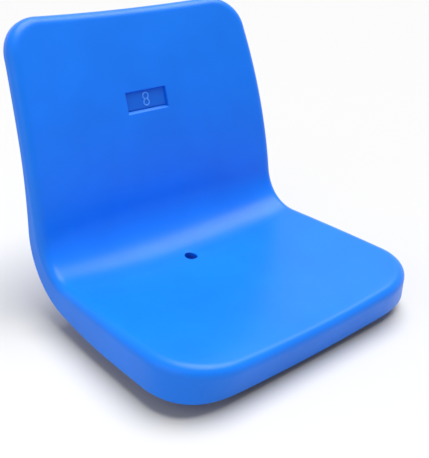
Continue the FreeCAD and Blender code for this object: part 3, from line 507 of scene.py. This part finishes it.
tree.links.new(tint.outputs["Color"], shader.inputs["Base Color"])
tree.links.new(gloss.outputs["Result"], shader.inputs["Roughness"])
tree.links.new(bump.outputs["Normal"], shader.inputs["Normal"])
shader.inputs["IOR"].default_value = 1.49
shader.inputs["Specular IOR Level"].default_value = 0.24
moulding.data.materials.append(polypropylene)

# Number plate
# The number plate is a small moulded card of the same blue that clips into the pocket with two
#  pegs. The card is coloured darker than the shell as painted shade of the pocket, and its raised figure is
#  paler than the card.
# The plate's sizes are in the pocket's own frame: across, inward, and up the backrest.
PLATE_HALF = 35.27
PLATE_TOP = 15.77
PLATE_FOOT = -10.875
PLATE_FRONT = 3.5
PLATE_BACK = 5.5
PLATE_CORNER = 1.5
PEG_OUT = 24.0
PEG_RADIUS = 2.0
PEG_LENGTH = 6.5
FIGURE_HEIGHT = 21.0
FIGURE_STROKE = 2.1
FIGURE_RELIEF = 0.8
figure_step = (FIGURE_HEIGHT - FIGURE_STROKE) / 4.0
plate_middle = (PLATE_TOP + PLATE_FOOT) / 2.0
pocket_turn = heading(POCKET_S) - np.pi / 2.0
pocket_middle = seat_point(0.0, POCKET_S, 0.0) / mm


def pocket_frame(x, y, z):
    """From the pocket's own frame: X across, Y straight in, Z up the backrest, in metres."""
    up = y * math.sin(pocket_turn) + z * math.cos(pocket_turn) + pocket_middle[2]
    inward = y * math.cos(pocket_turn) - z * math.sin(pocket_turn) + pocket_middle[1]
    return np.stack([x + 0.0 * up, inward + 0.0 * up, up], axis=-1) * mm


def card():
    """Rounded rectangle drawn in towards its middle: the front edge is rounded 0.35 mm, and the
    back is flat."""
    turn = np.linspace(0.0, np.pi / 2.0, 9)
    corner = np.concatenate([turn + quarter * np.pi / 2.0 for quarter in range(4)])
    cx = np.repeat([1.0, -1.0, -1.0, 1.0], 9) * (PLATE_HALF - PLATE_CORNER)
    cz = np.repeat([1.0, 1.0, -1.0, -1.0], 9) * ((PLATE_TOP - PLATE_FOOT) / 2.0 - PLATE_CORNER)
    inset = np.array([12.9, 8.0, 3.0, 0.35, 0.12, 0.0, 0.0, 0.2, 3.0, 12.9])[:, None]
    depth = np.array([0.0, 0.0, 0.0, 0.0, 0.1, 0.35, 1.8, 2.0, 2.0, 2.0])[:, None] + PLATE_FRONT
    radius = np.maximum(PLATE_CORNER - inset, 0.3)
    extra = inset - PLATE_CORNER + radius
    x = cx - np.sign(cx) * extra + radius * np.cos(corner)
    z = cz - np.sign(cz) * extra + radius * np.sin(corner) + plate_middle
    return pocket_frame(x, depth + 0.0 * x, z)


def figure_ring(middle):
    """One ring of the figure: a flat-topped bead on a circle, sunk 0.4 mm into the card."""
    circle = np.linspace(0.0, 2.0 * np.pi, 49)[:-1]
    side = FIGURE_STROKE / 2.0 - np.array([0.0, 0.0, 0.08, 0.27])
    side = np.concatenate([-side, side[::-1]])[:, None]
    height = FIGURE_RELIEF - np.array([1.2, 0.3, 0.08, 0.0])
    height = np.concatenate([height, height[::-1]])[:, None]
    x = (figure_step + side) * np.cos(circle)
    z = middle + (figure_step + side) * np.sin(circle)
    return pocket_frame(x, PLATE_FRONT - height + 0.0 * x, z)


def peg(x):
    """Round peg behind the card, rooted 0.5 mm inside it, with its end rounded over."""
    circle = np.linspace(0.0, 2.0 * np.pi, 33)[:-1]
    radius = PEG_RADIUS - np.array([1.5, 0.0, 0.0, 0.1, 0.5, 1.5])[:, None]
    depth = np.array([-0.5, -0.5, PEG_LENGTH - 0.5, PEG_LENGTH - 0.15, PEG_LENGTH, PEG_LENGTH])[:, None]
    depth = depth + PLATE_BACK
    return pocket_frame(x + radius * np.cos(circle), depth + 0.0 * circle, radius * np.sin(circle))


points = []
faces = []
total = 0
for ring in (card(), peg(-PEG_OUT), peg(PEG_OUT)):
    points.append(ring.reshape(-1, 3))
    faces.append(capped(ring) + total)
    total += ring.shape[0] * ring.shape[1]
number_plate = add_mesh("number_plate_card", np.concatenate(points), np.concatenate(faces), sharp=50.0)
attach(number_plate, "root")
points = []
faces = []
total = 0
for up in (-1.0, 1.0):
    ring = figure_ring(plate_middle + up * figure_step)
    ids = np.arange(ring.shape[0] * ring.shape[1]).reshape(ring.shape[:2]) + total
    wrapped = np.concatenate([ids, ids[:1]])
    points.append(ring.reshape(-1, 3))
    faces.append(cells(wrapped, wrap=True).reshape(-1, 4)[:, ::-1])
    total += ids.size
figure = add_mesh("number_plate_figure", np.concatenate(points), np.concatenate(faces), sharp=50.0)
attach(figure, "root")
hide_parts("number_plate")

# Polypropylene moulded matt, coloured a little darker than the shell as painted shade of the pocket the
# card sits in.
plate_material, tree, shader = new_material("polypropylene_plate_painted_shade")
place = node(tree, "ShaderNodeTexCoord").outputs["Object"]
grain = node(tree, "ShaderNodeTexNoise", Vector=place, Scale=1.0 / (0.7 * mm), Detail=3.0)
tint = node(tree, "ShaderNodeValToRGB", Fac=grain.outputs["Fac"])
tint.color_ramp.elements[0].color = linear("#0863d2")
tint.color_ramp.elements[1].color = linear("#0a6ce0")
tree.links.new(tint.outputs["Color"], shader.inputs["Base Color"])
shader.inputs["Roughness"].default_value = 0.42
shader.inputs["Specular IOR Level"].default_value = 0.24
number_plate.data.materials.append(plate_material)

# The same plastic, coloured paler, on the figure's flat tops, with a slight random mottle.
pale_figure_material, tree, shader = new_material("polypropylene_pale_figure")
place = node(tree, "ShaderNodeTexCoord").outputs["Object"]
figure_tone = node(tree, "ShaderNodeTexNoise", Vector=place, Scale=1.0 / (2.5 * mm), Detail=4.0)
tint = node(tree, "ShaderNodeValToRGB", Fac=figure_tone.outputs["Fac"])
tint.color_ramp.elements[0].position = 0.3
tint.color_ramp.elements[0].color = linear("#3c8bf0")
tint.color_ramp.elements[1].position = 0.7
tint.color_ramp.elements[1].color = linear("#62a6fa")
tree.links.new(tint.outputs["Color"], shader.inputs["Base Color"])
shader.inputs["Roughness"].default_value = 0.5
shader.inputs["Specular IOR Level"].default_value = 0.24
figure.data.materials.append(pale_figure_material)

# Rails
# Each rail is one strip of 3 mm steel pressed into a hat section and hot-dip galvanised, which
# leaves a dull grey with faint spangles about 12 mm across.
galvanised, tree, shader = new_material("steel_hot_dip_galvanised")
place = node(tree, "ShaderNodeTexCoord").outputs["Object"]
spangle = node(tree, "ShaderNodeTexVoronoi", Vector=place, Scale=1.0 / (12.0 * mm))
tint = node(tree, "ShaderNodeValToRGB", Fac=spangle.outputs["Color"])
tint.color_ramp.elements[0].color = linear("#8d9296")
tint.color_ramp.elements[1].color = linear("#b4b9bc")
gloss = node(tree, "ShaderNodeMapRange", Value=spangle.outputs["Color"], To_Min=0.38, To_Max=0.55)
tree.links.new(tint.outputs["Color"], shader.inputs["Base Color"])
tree.links.new(gloss.outputs["Result"], shader.inputs["Roughness"])
shader.inputs["Metallic"].default_value = 1.0
for name in ("rail_left", "rail_right"):
    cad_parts[name].data.materials.clear()
    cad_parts[name].data.materials.append(galvanised)

# Fastenings
# M8 bolts with washers and spring washers go up through the rails, and toothed retainers hold the
# number plate. All are steel, barrel-plated with bright zinc, which dulls in soft patches.
zinc, tree, shader = new_material("steel_bright_zinc_plated")
place = node(tree, "ShaderNodeTexCoord").outputs["Object"]
patch = node(tree, "ShaderNodeTexNoise", Vector=place, Scale=1.0 / (4.0 * mm), Detail=4.0, Roughness=0.6)
tint = node(tree, "ShaderNodeValToRGB", Fac=patch.outputs["Fac"])
tint.color_ramp.elements[0].position = 0.3
tint.color_ramp.elements[0].color = linear("#a9adb4")
tint.color_ramp.elements[1].position = 0.7
tint.color_ramp.elements[1].color = linear("#c9cdd2")
gloss = node(tree, "ShaderNodeMapRange", Value=patch.outputs["Fac"],
             From_Min=0.3, From_Max=0.7, To_Min=0.42, To_Max=0.26)
tree.links.new(tint.outputs["Color"], shader.inputs["Base Color"])
tree.links.new(gloss.outputs["Result"], shader.inputs["Roughness"])
shader.inputs["Metallic"].default_value = 1.0
for name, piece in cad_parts.items():
    if name.startswith(("bolt_", "washer_", "spring_washer_", "plate_retainer_")):
        piece.data.materials.clear()
        piece.data.materials.append(zinc)

# The inserts in the bosses are turned from brass bar, which leaves fine rings across their axis.
brass, tree, shader = new_material("brass_turned")
place = node(tree, "ShaderNodeTexCoord").outputs["Object"]
rings = node(tree, "ShaderNodeTexWave", {"bands_direction": "Z"},
             Vector=place, Scale=1.0 / (1.2 * mm), Distortion=1.0)
tint = node(tree, "ShaderNodeValToRGB", Fac=rings.outputs["Fac"])
tint.color_ramp.elements[0].color = linear("#b98d3e")
tint.color_ramp.elements[1].color = linear("#d2ab5c")
tree.links.new(tint.outputs["Color"], shader.inputs["Base Color"])
shader.inputs["Metallic"].default_value = 1.0
shader.inputs["Roughness"].default_value = 0.32
for name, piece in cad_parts.items():
    if name.startswith("insert_"):
        piece.data.materials.clear()
        piece.data.materials.append(brass)

# Floor, light and camera
# Pale paper floor under a broad overhead light, with a soft lamp at the left, as in a product studio.
floor_mesh = bpy.data.meshes.new("studio_floor")
floor_mesh.from_pydata([(-12, -12, 0), (12, -12, 0), (12, 12, 0), (-12, 12, 0)], [], [(0, 1, 2, 3)])
floor = bpy.data.objects.new("studio_floor", floor_mesh)
bpy.context.scene.collection.objects.link(floor)
paper, tree, shader = new_material("studio_paper")
shader.inputs["Base Color"].default_value = linear("#d6d6d6")
shader.inputs["Roughness"].default_value = 0.9
shader.inputs["Specular IOR Level"].default_value = 0.1
floor_mesh.materials.append(paper)

world = bpy.data.worlds.new("studio_world")
bpy.context.scene.world = world
world.use_nodes = True
tree = world.node_tree
tree.nodes.clear()
light_path = node(tree, "ShaderNodeLightPath")
direct = node(tree, "ShaderNodeMath", {"operation": "MAXIMUM"},
              n0=light_path.outputs["Is Camera Ray"], n1=light_path.outputs["Is Glossy Ray"])
seen = node(tree, "ShaderNodeMath", {"operation": "MAXIMUM"},
            n0=direct.outputs[0], n1=light_path.outputs["Is Transmission Ray"])
strength = node(tree, "ShaderNodeMapRange", Value=seen.outputs[0], To_Min=0.26, To_Max=1.0)
sky = node(tree, "ShaderNodeBackground", Color=(1.0, 1.0, 1.0, 1.0), Strength=strength.outputs["Result"])
node(tree, "ShaderNodeOutputWorld", Surface=sky.outputs["Background"])

sun_data = bpy.data.lights.new("overhead_light", "SUN")
sun_data.energy = 3.8
sun_data.angle = math.radians(50.0)
sun = bpy.data.objects.new("overhead_light", sun_data)
sun.rotation_euler = Vector((0.28, 0.02, 1.0)).to_track_quat("Z", "Y").to_euler()
bpy.context.scene.collection.objects.link(sun)


def area_lamp(name, place, target, size, power, colour=(1.0, 1.0, 1.0)):
    """Square soft lamp at a place, turned to a target."""
    data = bpy.data.lights.new(name, "AREA")
    data.shape = "SQUARE"
    data.size = size
    data.energy = power
    data.color = colour
    lamp = bpy.data.objects.new(name, data)
    lamp.location = place
    lamp.rotation_euler = (Vector(target) - Vector(place)).to_track_quat("-Z", "Y").to_euler()
    bpy.context.scene.collection.objects.link(lamp)
    return lamp


area_lamp("left_lamp", (-1.7, -0.2, 0.7), (0.0, 0.0, 0.1), 1.7, 8.0)

# The camera stands at the front left and looks down at the seat. Its focal length is given in
# pixels of a picture 458 pixels high.
FOCAL_PIXELS = 708.39
PICTURE_HEIGHT = 458.0
target = np.array([-23.60, 50.19, 132.64]) * mm
distance = 976.1 * mm
azimuth = math.radians(-39.24)
elevation = math.radians(25.41)
towards = np.array([math.sin(azimuth) * math.cos(elevation),
                    -math.cos(azimuth) * math.cos(elevation),
                    math.sin(elevation)])
camera_data = bpy.data.cameras.new("camera")
camera_data.sensor_fit = "AUTO"
camera_data.sensor_width = 36.0
camera_data.lens = FOCAL_PIXELS * camera_data.sensor_width / PICTURE_HEIGHT
camera = bpy.data.objects.new("camera", camera_data)
camera.location = Vector(target + towards * distance)
camera.rotation_euler = Vector(-towards).to_track_quat("-Z", "Y").to_euler()
bpy.context.scene.collection.objects.link(camera)
bpy.context.scene.camera = camera
bpy.context.scene.view_settings.view_transform = "Standard"
